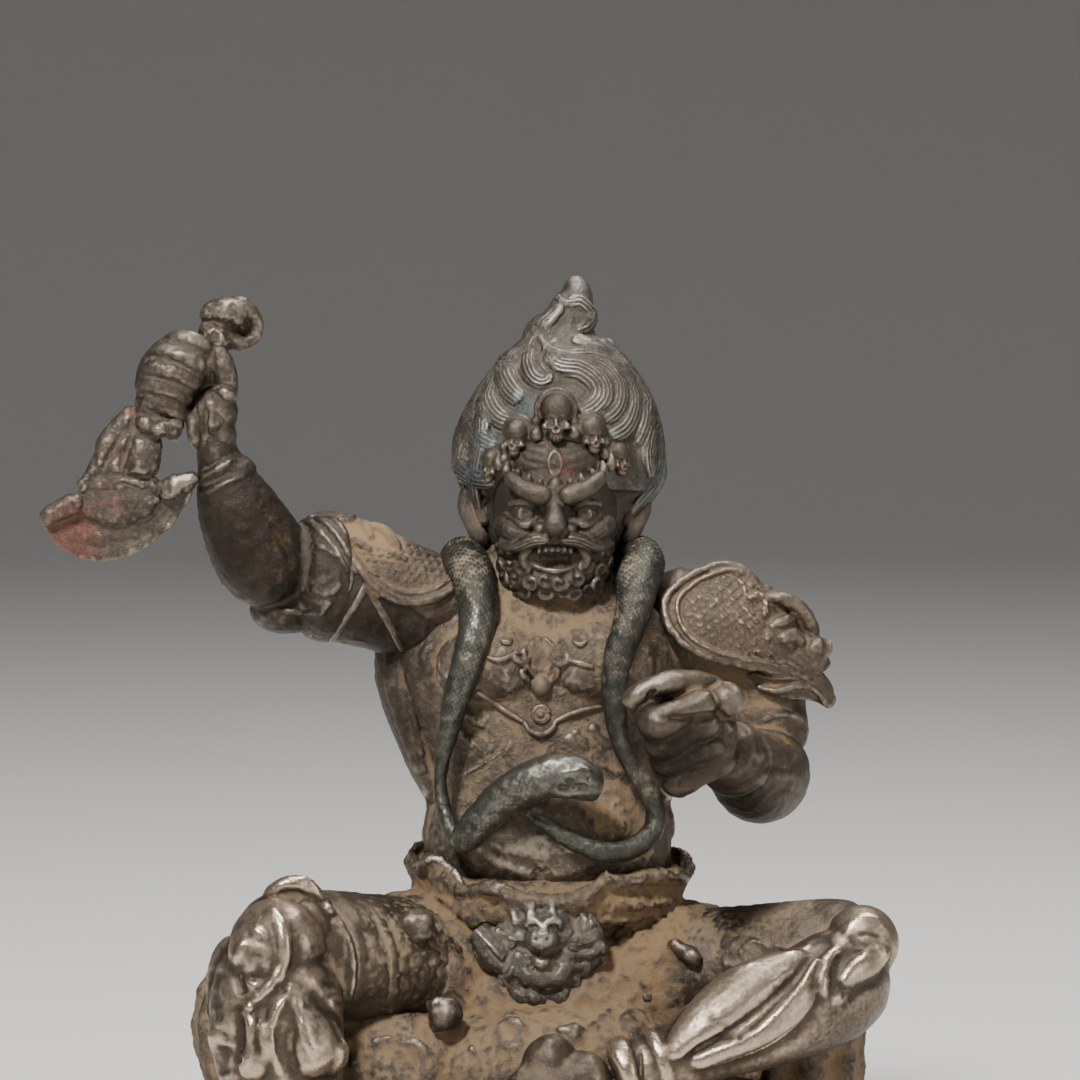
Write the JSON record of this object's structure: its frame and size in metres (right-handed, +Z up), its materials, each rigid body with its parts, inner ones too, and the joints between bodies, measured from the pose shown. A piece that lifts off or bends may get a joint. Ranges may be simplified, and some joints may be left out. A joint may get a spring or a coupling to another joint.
{
  "type": "vajrapani statue",
  "caption": "Seated wrathful guardian of cast copper, right arm raised with a curved ritual knife, snake garland and armour, on a rock seat and a low rounded plinth.",
  "frame": {"origin": "centre of the plinth's flat underside, which rests on the shelf or table", "axes": "+Z up, -Y towards the viewer in front of the figure, +X to that viewer's right, which is the figure's left"},
  "size_m": [0.1324, 0.084, 0.1509],
  "materials": {
    "aged_copper": "cast copper, brown patina rubbed bright on the high points, ochre dust in the hollows",
    "dark_copper": "cast copper, plain dark brown patina, edges rubbed a little"
  },
  "bodies": {
    "root": {"seated_figure": "aged_copper", "plinth": "dark_copper"}
  },
  "joints": []
}
